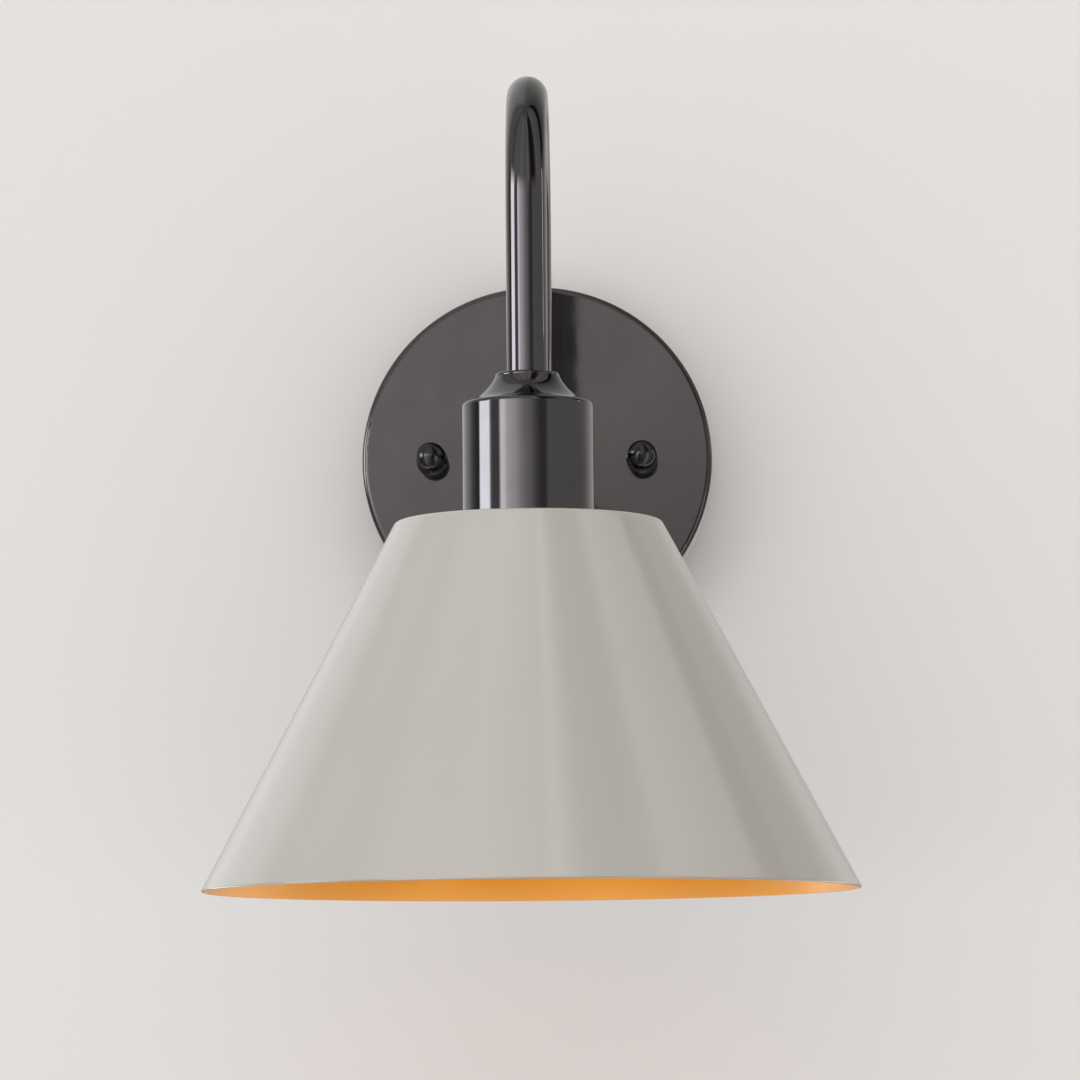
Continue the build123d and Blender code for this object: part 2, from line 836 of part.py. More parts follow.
save("canopy", make_canopy())
save("crossbar", make_crossbar())
save("stud_left", make_stud(-1))
save("stud_right", make_stud(1))
save("stud_lock_nuts", make_stud_nut(-1), make_stud_nut(1))
save("cap_washer_left", make_cap_washer(-1))
save("cap_washer_right", make_cap_washer(1))
save("cap_nut_left", make_cap_nut(-1))
save("cap_nut_right", make_cap_nut(1))

save("gooseneck_tube", make_arm())
save("tube_wall_bush", on_wall(Pos(0, 0, canopy_depth) * make_bush()))
save("tube_socket_bush", on_axis(Pos(0, 0, neck_top) * make_bush()))
save("wall_nipple", on_wall(make_nipple(wall_nipple_end, canopy_depth + bush_length)))
save("wall_lock_washer", on_wall(make_lock_washer(wall_nut_face)))
save("wall_nut", on_wall(make_nut(wall_nut_face - nut_height)))
save("wire_bush", make_wire_bush())

save("socket_cup", make_cup())
save("socket_nipple", on_axis(make_nipple(socket_nipple_end, neck_top + bush_length)))
save("cup_lock_washer", on_axis(make_lock_washer(holder_top + nut_height)))
save("cup_nut", on_axis(make_nut(holder_top)))
save("lampholder_cap", make_holder_cap())
save("lampholder_core", make_core())
save("lampholder_skirt", make_skirt())
save("screw_shell", make_screw_shell())
save("centre_contact", make_centre_contact())
save("line_terminal_screw", make_terminal_screw(-1))
save("neutral_terminal_screw", make_terminal_screw(1))

save("shade", make_shade())
save("shade_ring", make_shade_ring())

save("bulb_glass", make_envelope())
save("bulb_screw_cap", make_lamp_base())
save("bulb_insulator", make_insulator())
save("bulb_eyelet", make_eyelet())
save("bulb_stem", make_stem())
save("bulb_filament", make_filament())

save("line_lead", make_lead(-1))
save("neutral_lead", make_lead(1))
save("line_connector", make_connector(-1))
save("neutral_connector", make_connector(1))
save("ground_lead", make_ground_lead())
save("canopy_ground_lug", make_canopy_lug())
save("crossbar_ground_lug", make_screw_lug())
save("ground_screw", make_ground_screw())
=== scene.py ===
import json
from math import atan2, cos, pi, radians, sin, tan

import bpy
from mathutils import Matrix, Vector


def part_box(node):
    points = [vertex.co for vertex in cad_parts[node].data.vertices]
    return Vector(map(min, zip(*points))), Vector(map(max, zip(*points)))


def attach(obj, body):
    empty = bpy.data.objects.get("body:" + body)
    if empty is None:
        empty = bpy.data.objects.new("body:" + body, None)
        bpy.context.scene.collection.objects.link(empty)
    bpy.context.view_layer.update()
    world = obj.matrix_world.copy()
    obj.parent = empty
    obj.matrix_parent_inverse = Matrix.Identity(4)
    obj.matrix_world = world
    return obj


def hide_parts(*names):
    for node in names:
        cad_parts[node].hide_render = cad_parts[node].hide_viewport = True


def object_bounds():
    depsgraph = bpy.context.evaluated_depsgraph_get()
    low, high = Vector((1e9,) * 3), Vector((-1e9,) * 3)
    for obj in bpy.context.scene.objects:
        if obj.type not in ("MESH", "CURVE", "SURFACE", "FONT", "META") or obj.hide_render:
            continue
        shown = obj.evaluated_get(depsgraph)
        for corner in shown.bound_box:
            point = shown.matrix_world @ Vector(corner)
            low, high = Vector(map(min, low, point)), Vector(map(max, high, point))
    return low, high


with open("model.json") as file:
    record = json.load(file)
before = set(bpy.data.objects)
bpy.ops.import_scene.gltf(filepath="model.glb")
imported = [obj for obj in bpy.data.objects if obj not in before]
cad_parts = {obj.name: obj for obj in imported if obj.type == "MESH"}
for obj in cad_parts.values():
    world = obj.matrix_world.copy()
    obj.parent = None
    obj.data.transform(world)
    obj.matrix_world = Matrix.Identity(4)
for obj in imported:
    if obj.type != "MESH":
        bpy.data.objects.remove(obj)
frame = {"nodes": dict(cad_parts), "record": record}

# Wall sconce. The frame is the part's own: origin on the wall behind the canopy's centre, +Z up,
# +X right, the room towards -Y. All lengths are metres.
cad_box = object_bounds()
nodes = frame["nodes"]
mm = 0.001
metre = 1000 * mm

# Camera, placed from the photograph's perspective
camera_place = Vector((33.6, -1675.2, -199.4)) * mm
camera_pitch = radians(5.958)
camera_yaw = radians(1.137)
camera_roll = radians(0.473)
camera_sensor_mm = 36.0
camera_lens_mm = 166.7

# Wall, floor and lights
wall_gap = 0.2 * mm
wall_half = 2.6
floor_drop = 1.35
floor_reach = 2 * wall_half
box_opening = 47 * mm
wall_ring_points = 96
pale_wall = (0.68, 0.656, 0.645)
pale_floor = (0.84, 0.83, 0.81)
backdrop = (0.74, 0.73, 0.71)
bright_side = Vector((-0.54, -0.77, 0.06))
room_bright = (1.62, 1.62, 1.62)
room_dim = (0.08, 0.08, 0.08)
key_place = Vector((0.9, -2.0, -0.8))
key_size = 1.4
key_power = 2.0
key_tint = (1.0, 0.985, 0.96)
strip_place = Vector((1.25, 0.2, 0.36))
strip_width = 60 * mm
strip_height = 300 * mm
strip_power = 0.3

# Panels that the polished pieces mirror: degrees round the room and colour, 0 at the front, left first
full_turn = 360
level_panels = (
    (-180, (0.44, 0.43, 0.42)),
    (-170, (0.52, 0.51, 0.5)),
    (-163, (0.75, 0.74, 0.72)),
    (-150, (1.05, 1.04, 1.02)),
    (-124, (0.9, 0.89, 0.88)),
    (-113, (0.45, 0.44, 0.44)),
    (-102, (0.22, 0.22, 0.22)),
    (-94, (0.18, 0.18, 0.19)),
    (-91, (7.2, 7.4, 7.9)),
    (-71, (7.2, 7.4, 7.9)),
    (-68, (1.0, 1.0, 1.05)),
    (-63, (0.42, 0.42, 0.45)),
    (-51, (0.42, 0.42, 0.45)),
    (-47, (5.2, 5.2, 5.3)),
    (-41, (5.0, 4.9, 5.1)),
    (-36, (3.4, 3.2, 3.4)),
    (-20, (2.5, 2.4, 2.5)),
    (-12, (1.75, 1.67, 1.73)),
    (-3, (1.2, 1.14, 1.15)),
    (6, (0.95, 0.9, 0.9)),
    (14, (0.5, 0.49, 0.5)),
    (23, (0.25, 0.25, 0.26)),
    (32, (0.25, 0.25, 0.26)),
    (38, (0.65, 0.63, 0.64)),
    (110, (0.6, 0.58, 0.56)),
    (122, (0.7, 0.68, 0.66)),
    (134, (0.9, 0.88, 0.85)),
    (150, (0.8, 0.78, 0.75)),
    (163, (0.56, 0.55, 0.53)),
    (171, (0.5, 0.49, 0.48)),
    (180, (0.44, 0.43, 0.42)),
)
upper_panels = (
    (-180, (0.6, 0.6, 0.6)),
    (-150, (0.85, 0.87, 0.9)),
    (-128, (0.9, 0.92, 0.95)),
    (-116, (0.5, 0.5, 0.5)),
    (-98, (0.6, 0.6, 0.6)),
    (-82, (0.42, 0.42, 0.42)),
    (-70, (0.7, 0.7, 0.68)),
    (-44, (0.68, 0.68, 0.68)),
    (-30, (0.88, 0.86, 0.88)),
    (-6, (0.7, 0.67, 0.68)),
    (7, (0.62, 0.6, 0.6)),
    (13, (0.98, 0.94, 0.93)),
    (18, (0.8, 0.78, 0.76)),
    (25, (0.25, 0.25, 0.24)),
    (31, (0.08, 0.08, 0.07)),
    (48, (0.05, 0.05, 0.045)),
    (58, (0.2, 0.19, 0.18)),
    (68, (0.78, 0.74, 0.72)),
    (82, (0.62, 0.6, 0.59)),
    (103, (0.5, 0.5, 0.48)),
    (107, (0.05, 0.05, 0.04)),
    (115, (0.02, 0.02, 0.02)),
    (121, (0.3, 0.29, 0.28)),
    (132, (0.38, 0.37, 0.36)),
    (150, (0.5, 0.5, 0.48)),
    (180, (0.5, 0.5, 0.48)),
)
low_panels = (
    (-180, (0.3, 0.29, 0.28)),
    (-152, (0.34, 0.33, 0.32)),
    (-146, (2.6, 2.6, 2.6)),
    (-128, (2.2, 2.2, 2.2)),
    (-122, (0.4, 0.39, 0.38)),
    (-84, (0.3, 0.29, 0.28)),
    (-52, (0.5, 0.48, 0.47)),
    (-46, (1.8, 1.75, 1.8)),
    (-30, (1.3, 1.25, 1.3)),
    (-8, (0.7, 0.67, 0.67)),
    (14, (0.45, 0.43, 0.42)),
    (34, (0.3, 0.29, 0.28)),
    (38, (1.7, 1.7, 1.75)),
    (52, (1.7, 1.7, 1.75)),
    (58, (0.7, 0.67, 0.65)),
    (92, (0.35, 0.34, 0.32)),
    (118, (0.4, 0.38, 0.36)),
    (124, (2.2, 2.2, 2.1)),
    (146, (1.4, 1.37, 1.32)),
    (156, (0.32, 0.31, 0.3)),
    (180, (0.3, 0.29, 0.28)),
)
zenith_tone = (0.42, 0.4, 0.33)
upper_band = (14, 24)
zenith_band = (74, 88)
low_band = (4.5, -2)

# Shade
shade_top_radius = 40.75 * mm
shade_wall = 1.0 * mm
shade_top_round = 1.6 * mm
shade_lip_round = 0.4 * mm
shade_lip_overlap_share = 0.66
shade_round_steps = 8
shade_hole_radius = 17.25 * mm
shade_segments = 288
# Painted highlight: the gold leaf turns paler in a band this high above the lip
leaf_painted_highlight_band = 7 * mm

# Canopy
canopy_lean = radians(1.2)
canopy_rise = radians(1.3)
# Painted shade: the canopy's colour darkens towards its lower right along this way, over this span,
# down to this share of its tint
canopy_painted_shade_way = (0.4, 0, -1)
canopy_painted_shade_span = (-12 * mm, 42 * mm)
canopy_painted_shade_share = 0.7

# Noise patterns: grains in a metre, detail and roughness
smear_noise = (45, 5, 0.6)
hairline_noise = (2600, 2, 0.6)
hairline_stretch = (1, 1, 0.06)
nickel_wave_noise = (60, 1, 0.3)
enamel_wave_noise = (95, 1, 0.3)
lacquer_cloud_noise = (14, 3, 0.5)
peel_noise = (520, 2, 0.5)
speck_noise = (2400, 2, 0.5)
crease_noise = (230, 6, 0.65)
leaf_cloud_noise = (60, 4, 0.6)
metal_patch_noise = (160, 4, 0.6)
metal_grain_noise = (900, 3, 0.6)
plastic_patch_noise = (90, 4, 0.6)
plastic_grain_noise = (1400, 3, 0.6)
frost_noise = (2200, 3, 0.6)
veil_noise = (40, 3, 0.5)
plaster_cloud_noise = (3, 3, 0.5)
plaster_grain_noise = (180, 3, 0.5)

# The span that most noise values lie in, and how strongly a grain dents its surface
noise_span = (0.3, 0.7)
grain_bump_share = 0.5

# Polished finishes: heights are lengths, shares are parts of a tint or of a bump's strength
nickel_tint = (0.097, 0.092, 0.094)
nickel_wave_height = 0.035 * mm
nickel_roughness = (0.03, 0.075)
cap_nickel_tint = (0.06, 0.057, 0.058)
cap_nickel_roughness = (0.17, 0.22)
enamel_tint = (0.087, 0.082, 0.081)
enamel_wave_height = 0.03 * mm
enamel_roughness = (0.05, 0.1)
enamel_metal_share = 0.86
smear_dark_share = 0.86
hairline_height = 0.002 * mm
hairline_share = 0.35

# Lacquer
lacquer_tint = (0.415, 0.392, 0.352)
lip_tint = (0.36, 0.29, 0.21)
lacquer_dark_share = 0.965
lacquer_roughness = 0.42
coat_index = 1.75
coat_roughness = (0.05, 0.08)
peel_height = 0.012 * mm

# Gold leaf
leaf_tint = (0.9, 0.37, 0.012)
leaf_deep_tint = (0.87, 0.32, 0.004)
# Painted highlight: the paler peach tint along the lip stands in for the sheen at the ends of the lit
# inside
leaf_painted_highlight_tint = (0.94, 0.46, 0.09)
leaf_sheen_tint = (1.0, 0.78, 0.6)
leaf_square_scale = 26
leaf_square_drift = 0.35
leaf_square_share = 0.25
leaf_painted_highlight_share = 0.75
leaf_metal_share = 0.12
leaf_sheen_share = 0.8
leaf_sheen_roughness = 0.35
leaf_roughness = (0.32, 0.5)
leaf_edge_height = 0.03 * mm
leaf_edge_share = 0.25
crease_height = 0.05 * mm

# Other finishes: tint and roughness, and for glass also the clearness
plated_finishes = {
    "zinc_steel": ((0.56, 0.57, 0.58), 0.3),
    "brass": ((0.76, 0.58, 0.28), 0.28),
    "green_zinc": ((0.07, 0.32, 0.13), 0.35),
    "copper_wire": ((0.82, 0.44, 0.26), 0.32),
    "nickel_cap": ((0.72, 0.71, 0.69), 0.25),
    "tungsten": ((0.3, 0.3, 0.32), 0.4),
}
metal_dark_share = 0.72
metal_shine_shares = (0.8, 1.3)
metal_grain_height = 0.01 * mm
moulded_finishes = {
    "black_plastic": ((0.022, 0.021, 0.021), 0.35),
    "porcelain": ((0.82, 0.8, 0.75), 0.25),
    "lead_black": ((0.018, 0.018, 0.019), 0.4),
    "lead_white": ((0.78, 0.77, 0.74), 0.4),
    "connector_orange": ((0.78, 0.22, 0.035), 0.38),
    "dark_glass": ((0.03, 0.028, 0.03), 0.12),
}
plastic_dark_share = 0.82
plastic_shine_shares = (0.85, 1.2)
plastic_grain_height = 0.02 * mm
glass_finishes = {
    "frosted_glass": ((0.97, 0.95, 0.91), 0.5, 0.45),
    "clear_glass": ((0.95, 0.97, 0.96), 0.03, 1),
}
glass_dark_share = 0.95
glass_shine_shares = (0.85, 1.15)
glass_index = 1.45
frost_height = 0.02 * mm
frost_share = 0.6
plaster_dark_share = 0.985
plaster_roughness = 0.9
plaster_grain_height = 0.03 * mm
plaster_grain_share = 0.3

# Threads: every rod's hollow is at least a hair wide, so that its ends stay clean rings
rod_hollow = 0.03 * mm
rod_segments = 40
thread_steps = 8
stud_pitch = 0.79375 * mm
stud_thread_depth = 0.42 * mm
nipple_pitch = 0.94 * mm
nipple_thread_depth = 0.4 * mm
nipple_bore_radius = 3.2 * mm
skirt_pitch = 2.0 * mm
skirt_thread_depth = 0.7 * mm
skirt_bore_radius = 13.95 * mm
skirt_spigot = 4.0 * mm
skirt_spigot_radius = 15.2 * mm
skirt_step = 0.04 * mm
lamp_pitch = 3.63 * mm
lamp_thread_depth = 0.7 * mm
lamp_plain_skirt = 6.48 * mm
lamp_cap_wall = 0.3 * mm
round_segments = 96

# Wire connectors
connector_tip_radius = 3.2 * mm
connector_tip_round = 0.8 * mm
connector_grip = 8.0 * mm
connector_flute_depth = 0.55 * mm
connector_flutes = 9
connector_mouth_share = 1 / 3
connector_tip_steps = 6
connector_body_steps = 30
lead_radius = 1.25 * mm


# Mesh helpers

def mesh_object(name, points, faces, slots=None):
    """A smooth-shaded mesh object from points, faces and an optional material index for each face."""
    mesh = bpy.data.meshes.new(name)
    mesh.from_pydata([tuple(p) for p in points], [], faces)
    mesh.update()
    piece = bpy.data.objects.new(name, mesh)
    bpy.context.scene.collection.objects.link(piece)
    for face in mesh.polygons:
        face.use_smooth = True
    if slots:
        for face, slot in zip(mesh.polygons, slots):
            face.material_index = slot
    return piece


def weigh_normals(piece):
    """Lets the large flat faces set the shading beside rounded edges."""
    modifier = piece.modifiers.new("normals", "WEIGHTED_NORMAL")
    modifier.keep_sharp = True


def rounded_outline(corners, rounds, steps):
    """A closed outline with each corner turned into an arc, or kept where its radius is zero.

    Each point comes with the index of its corner."""
    outline = []
    count = len(corners)
    for index, corner in enumerate(corners):
        here = Vector(corner)
        before = Vector(corners[index - 1]) - here
        after = Vector(corners[(index + 1) % count]) - here
        radius = rounds[index]
        if not radius:
            outline.append((here, index))
            continue
        half = before.angle(after) / 2
        run = radius / tan(half)
        middle = (before.normalized() + after.normalized()).normalized() * (radius / sin(half))
        centre = here + middle
        start = here + before.normalized() * run - centre
        end = here + after.normalized() * run - centre
        turn = start.angle_signed(end)
        for step in range(steps + 1):
            spoke = start.copy()
            spoke.rotate(Matrix.Rotation(-turn * step / steps, 2))
            outline.append((centre + spoke, index))
    return outline


def lathe(name, outline, centre, segments, slot_of=None):
    """Turns an outline of radius and height about an upright axis through the centre.

    slot_of gives the material index of the faces that start at each corner."""
    points = []
    faces = []
    slots = []
    rings = len(outline)
    for turn in range(segments):
        angle = 2 * pi * turn / segments
        for (radius, height), _ in outline:
            points.append((centre.x + radius * cos(angle), centre.y + radius * sin(angle), height))
    for turn in range(segments):
        near = turn * rings
        far = (turn + 1) % segments * rings
        for ring in range(rings):
            ahead = (ring + 1) % rings
            faces.append((near + ring, near + ahead, far + ahead, far + ring))
            if slot_of:
                slots.append(slot_of[outline[ring][1]])
    return mesh_object(name, points, faces, slots)


def wound_tube(name, heights, outer, inner, segments, place):
    """A closed tube whose outer and inner radius depend on the height and the angle."""
    points = []
    faces = []
    rows = [(h, outer) for h in heights] + [(h, inner) for h in reversed(heights)]
    for height, radius_at in rows:
        for turn in range(segments):
            angle = 2 * pi * turn / segments
            radius = radius_at(height, angle)
            points.append(place @ Vector((radius * cos(angle), radius * sin(angle), height)))
    for row in range(len(rows)):
        ahead = (row + 1) % len(rows)
        for turn in range(segments):
            side = (turn + 1) % segments
            faces.append(
                (
                    row * segments + turn,
                    row * segments + side,
                    ahead * segments + side,
                    ahead * segments + turn,
                )
            )
    return mesh_object(name, points, faces)


def thread_radius(crest, depth, pitch, low, high, runout):
    """The radius of a right-handed thread as a function of height and angle, plain at both ends."""

    def radius_at(height, angle):
        phase = (height / pitch - angle / (2 * pi)) % 1
        groove = 0.5 + 0.5 * cos(2 * pi * phase)
        fade = min(1, (height - low) / runout, (high - height) / runout)
        return crest - depth * groove * max(0, fade)

    return radius_at


def spread(low, high, step):
    """Even heights from low to high, about one step apart."""
    count = max(2, round((high - low) / step))
    return [low + (high - low) * index / count for index in range(count + 1)]


# Node helpers

def new_material(name):
    """A new material, its node tree and its shader."""
    material = bpy.data.materials.new(name)
    material.use_nodes = True
    tree = material.node_tree
    return material, tree, tree.nodes["Principled BSDF"]


def add(tree, kind, **settings):
    """A new node with its settings."""
    node = tree.nodes.new(kind)
    for name, value in settings.items():
        setattr(node, name, value)
    return node


def place_coords(tree, stretch=(1, 1, 1)):
    """Object coordinates in metres, stretched along each axis."""
    coords = add(tree, "ShaderNodeTexCoord")
    mapping = add(tree, "ShaderNodeMapping")
    mapping.inputs["Scale"].default_value = stretch
    tree.links.new(coords.outputs["Object"], mapping.inputs["Vector"])
    return mapping.outputs["Vector"]


def noise(tree, coords, scale, detail, roughness):
    node = add(tree, "ShaderNodeTexNoise")
    node.inputs["Scale"].default_value = scale
    node.inputs["Detail"].default_value = detail
    node.inputs["Roughness"].default_value = roughness
    tree.links.new(coords, node.inputs["Vector"])
    return node.outputs["Fac"]


def spread_values(tree, value, low, high, source=noise_span):
    """Maps a value from one span to another."""
    node = add(tree, "ShaderNodeMapRange")
    node.inputs["From Min"].default_value = source[0]
    node.inputs["From Max"].default_value = source[1]
    node.inputs["To Min"].default_value = low
    node.inputs["To Max"].default_value = high
    tree.links.new(value, node.inputs["Value"])
    return node.outputs["Result"]


def blend_colors(tree, share, first, second):
    node = add(tree, "ShaderNodeMix", data_type="RGBA")
    tree.links.new(share, node.inputs["Factor"])
    for socket, colour in ((node.inputs["A"], first), (node.inputs["B"], second)):
        if isinstance(colour, tuple):
            socket.default_value = (*colour, 1)
        else:
            tree.links.new(colour, socket)
    return node.outputs["Result"]


def bump(tree, height, distance, strength=1.0, below=None):
    node = add(tree, "ShaderNodeBump")
    node.inputs["Strength"].default_value = strength
    node.inputs["Distance"].default_value = distance
    tree.links.new(height, node.inputs["Height"])
    if below:
        tree.links.new(below, node.inputs["Normal"])
    return node.outputs["Normal"]


def along(tree, way):
    """How far a point lies along a direction, in metres."""
    coords = add(tree, "ShaderNodeTexCoord")
    reach = add(tree, "ShaderNodeVectorMath", operation="DOT_PRODUCT")
    reach.inputs[1].default_value = way
    tree.links.new(coords.outputs["Object"], reach.inputs[0])
    return reach.outputs["Value"]


def leaned(tree, sideways, upward, below):
    """Leans the shading normal, as on a face that isn't dead square to the wall."""
    return bump(tree, along(tree, (tan(sideways), 0, -tan(upward))), metre, 1, below)


def darker(tint, share):
    """A tint at a share of its brightness."""
    return tuple(share * value for value in tint)


def patchy_colour(tree, shader, patches, tint, dark_share):
    """A tint that is darker in patches."""
    colour = blend_colors(tree, spread_values(tree, patches, 0, 1), darker(tint, dark_share), tint)
    tree.links.new(colour, shader.inputs["Base Color"])


def uneven_shine(tree, shader, pattern, roughness, shares):
    """A roughness that a pattern takes from its first share to its second."""
    low_share, high_share = shares
    shine = spread_values(tree, pattern, roughness * low_share, roughness * high_share)
    tree.links.new(shine, shader.inputs["Roughness"])


# Materials

def polished_nickel(name, tint, wave_noise, wave_height, roughness, lean_and_painted_shade=None, metal=1):
    """Polished black nickel: dark mirror metal with faint smears, hairlines and polishing waves; given
    a lean, it also leans its shading normal and gets painted shade towards the lower right.
    """
    material, tree, shader = new_material(name)
    coords = place_coords(tree)
    smears = noise(tree, coords, *smear_noise)
    hairlines = noise(tree, place_coords(tree, hairline_stretch), *hairline_noise)
    waves = noise(tree, coords, *wave_noise)
    dark = darker(tint, smear_dark_share)
    colour = blend_colors(tree, spread_values(tree, smears, 0, 1), dark, tint)
    if lean_and_painted_shade:
        # Painted shade: the colour darkens towards the lower right, beside and above the shade
        painted_shade = spread_values(tree, along(tree, canopy_painted_shade_way), 0, 1, canopy_painted_shade_span)
        colour = blend_colors(tree, painted_shade, colour, darker(tint, canopy_painted_shade_share))
    tree.links.new(colour, shader.inputs["Base Color"])
    tree.links.new(spread_values(tree, smears, *roughness), shader.inputs["Roughness"])
    shader.inputs["Metallic"].default_value = metal
    fine = bump(tree, hairlines, hairline_height, hairline_share)
    wavy = bump(tree, waves, wave_height, 1, fine)
    tree.links.new(leaned(tree, *lean_and_painted_shade, wavy) if lean_and_painted_shade else wavy, shader.inputs["Normal"])
    return material


def lacquer(name, tint):
    """Glossy sprayed lacquer with orange peel and a faint cloudiness."""
    material, tree, shader = new_material(name)
    coords = place_coords(tree)
    cloud = noise(tree, coords, *lacquer_cloud_noise)
    peel = noise(tree, coords, *peel_noise)
    specks = noise(tree, coords, *speck_noise)
    patchy_colour(tree, shader, cloud, tint, lacquer_dark_share)
    shader.inputs["Roughness"].default_value = lacquer_roughness
    shader.inputs["Coat Weight"].default_value = 1
    shader.inputs["Coat IOR"].default_value = coat_index
    tree.links.new(spread_values(tree, specks, *coat_roughness), shader.inputs["Coat Roughness"])
    normal = bump(tree, peel, peel_height, grain_bump_share)
    tree.links.new(normal, shader.inputs["Normal"])
    tree.links.new(normal, shader.inputs["Coat Normal"])
    return material


def gold_leaf(name, tint, deep, painted_highlight):
    """Gold leaf laid in squares, with creases and a paler band along the lip that is a painted
    highlight.
    """
    material, tree, shader = new_material(name)
    coords = place_coords(tree)
    leaves = add(tree, "ShaderNodeTexVoronoi", distance="CHEBYCHEV")
    leaves.inputs["Scale"].default_value = leaf_square_scale
    leaves.inputs["Randomness"].default_value = leaf_square_drift
    tree.links.new(coords, leaves.inputs["Vector"])
    tone = add(tree, "ShaderNodeSeparateColor")
    tree.links.new(leaves.outputs["Color"], tone.inputs["Color"])
    creases = noise(tree, coords, *crease_noise)
    cloud = noise(tree, coords, *leaf_cloud_noise)
    mottled = blend_colors(tree, spread_values(tree, cloud, 0, 1), deep, tint)
    square = spread_values(tree, tone.outputs["Red"], 0, leaf_square_share, (0, 1))
    leafed = blend_colors(tree, square, mottled, deep)
    split = add(tree, "ShaderNodeSeparateXYZ")
    tree.links.new(coords, split.inputs["Vector"])
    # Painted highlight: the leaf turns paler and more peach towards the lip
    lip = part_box("shade")[0].z
    band = (lip, lip + leaf_painted_highlight_band)
    lip_highlight = spread_values(tree, split.outputs["Z"], leaf_painted_highlight_share, 0, band)
    tree.links.new(blend_colors(tree, lip_highlight, leafed, painted_highlight), shader.inputs["Base Color"])
    tree.links.new(spread_values(tree, creases, *leaf_roughness), shader.inputs["Roughness"])
    shader.inputs["Metallic"].default_value = leaf_metal_share
    shader.inputs["Sheen Weight"].default_value = leaf_sheen_share
    shader.inputs["Sheen Roughness"].default_value = leaf_sheen_roughness
    shader.inputs["Sheen Tint"].default_value = (*leaf_sheen_tint, 1)
    edges = bump(tree, leaves.outputs["Distance"], leaf_edge_height, leaf_edge_share)
    creased = bump(tree, creases, crease_height, grain_bump_share, edges)
    tree.links.new(creased, shader.inputs["Normal"])
    return material


def plated(name, tint, roughness):
    """Plated or bare metal hardware with a fine grain and uneven shine."""
    material, tree, shader = new_material(name)
    coords = place_coords(tree)
    patches = noise(tree, coords, *metal_patch_noise)
    fine = noise(tree, coords, *metal_grain_noise)
    patchy_colour(tree, shader, patches, tint, metal_dark_share)
    uneven_shine(tree, shader, fine, roughness, metal_shine_shares)
    shader.inputs["Metallic"].default_value = 1
    tree.links.new(bump(tree, fine, metal_grain_height, grain_bump_share), shader.inputs["Normal"])
    return material


def moulded(name, tint, roughness):
    """Moulded plastic, ceramic or wire insulation with a faint grain."""
    material, tree, shader = new_material(name)
    coords = place_coords(tree)
    patches = noise(tree, coords, *plastic_patch_noise)
    fine = noise(tree, coords, *plastic_grain_noise)
    patchy_colour(tree, shader, patches, tint, plastic_dark_share)
    uneven_shine(tree, shader, patches, roughness, plastic_shine_shares)
    tree.links.new(bump(tree, fine, plastic_grain_height, grain_bump_share), shader.inputs["Normal"])
    return material


def glass(name, tint, roughness, clearness):
    """Bulb glass, frosted where it isn't wholly clear."""
    material, tree, shader = new_material(name)
    coords = place_coords(tree)
    frost = noise(tree, coords, *frost_noise)
    veil = noise(tree, coords, *veil_noise)
    patchy_colour(tree, shader, veil, tint, glass_dark_share)
    uneven_shine(tree, shader, frost, roughness, glass_shine_shares)
    shader.inputs["Transmission Weight"].default_value = clearness
    shader.inputs["IOR"].default_value = glass_index
    if clearness < 1:
        tree.links.new(bump(tree, frost, frost_height, frost_share), shader.inputs["Normal"])
    return material


def make_materials():
    """One material for each of the record's slots, a softer nickel and the shade's inner finishes."""
    nickel_waves = (nickel_wave_noise, nickel_wave_height)
    enamel_waves = (enamel_wave_noise, enamel_wave_height)
    enamel_shine = (enamel_roughness, (canopy_lean, canopy_rise), enamel_metal_share)
    recipes = {
        "black_nickel": (polished_nickel, nickel_tint, *nickel_waves, nickel_roughness),
        "cap_nickel": (polished_nickel, cap_nickel_tint, *nickel_waves, cap_nickel_roughness),
        "canopy_enamel": (polished_nickel, enamel_tint, *enamel_waves, *enamel_shine),
        "shade_lacquer": (lacquer, lacquer_tint),
        "shade_leaf": (gold_leaf, leaf_tint, leaf_deep_tint, leaf_painted_highlight_tint),
        "shade_lip": (lacquer, lip_tint),
    }
    families = ((plated, plated_finishes), (moulded, moulded_finishes), (glass, glass_finishes))
    for make, finishes in families:
        recipes.update((name, (make, *finish)) for name, finish in finishes.items())
    return {name: make(name, *values) for name, (make, *values) in recipes.items()}


def dress_frame(materials):
    """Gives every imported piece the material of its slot, and the cap nuts a softer shine."""
    for subpart in frame["record"]["subparts"]:
        piece = nodes[subpart["node"]]
        finish = "cap_nickel" if "cap_nut" in subpart["node"] else subpart["material_slot"]
        for slot in piece.material_slots:
            slot.material = materials[finish]


def give(piece, material, slot, body, *replaced):
    """Sets a new piece's finish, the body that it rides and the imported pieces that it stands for."""
    piece.data.materials.append(material)
    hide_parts(*replaced)
    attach(piece, body)


# Pieces

def axis_of(node):
    """The centre of a round piece that stands upright."""
    low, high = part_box(node)
    return Vector(((low.x + high.x) / 2, (low.y + high.y) / 2, 0))


